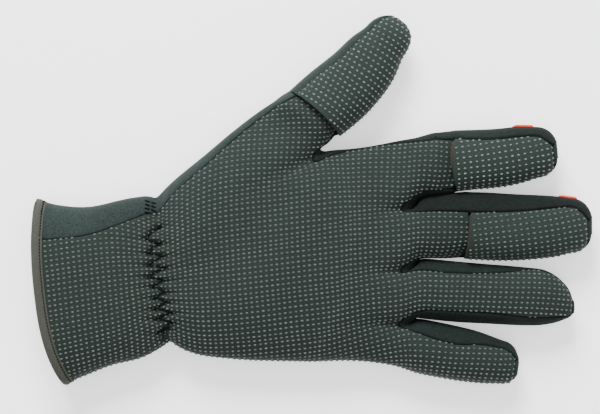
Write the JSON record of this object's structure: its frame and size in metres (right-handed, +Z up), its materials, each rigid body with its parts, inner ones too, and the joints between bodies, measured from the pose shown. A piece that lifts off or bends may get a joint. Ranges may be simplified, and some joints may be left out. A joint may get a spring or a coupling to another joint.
{
  "type": "fishing glove",
  "caption": "Left-hand neoprene fishing glove lying palm up, with dotted grip panels, elastic-gathered wrist, bound cuff and fold-back tips on thumb, index and middle finger.",
  "frame": {"origin": "middle of the glove's plan, on the surface that its back lies on", "axes": "+X along the fingers, from the cuff to the fingertips; +Y towards the thumb; +Z up out of the palm"},
  "size_m": [0.2756, 0.182, 0.0342],
  "materials": {
    "grip_neoprene": "dark grey-green knit face with raised pale grip dots, matt",
    "plain_neoprene": "dark teal-grey knit face, matt",
    "binding_tape": "grey woven tape, slight sheen",
    "patch_rubber": "orange, smooth"
  },
  "bodies": {
    "root": {"palm_panel": "grip_neoprene", "thumb_cap": "grip_neoprene", "index_cap": "grip_neoprene", "middle_cap": "grip_neoprene", "back_panel": "plain_neoprene", "thumb_gusset": "plain_neoprene", "index_middle_gusset": "plain_neoprene", "middle_ring_gusset": "plain_neoprene", "ring_little_gusset": "plain_neoprene", "cuff_binding": "binding_tape", "index_patch": "patch_rubber", "middle_patch": "patch_rubber"}
  },
  "joints": []
}
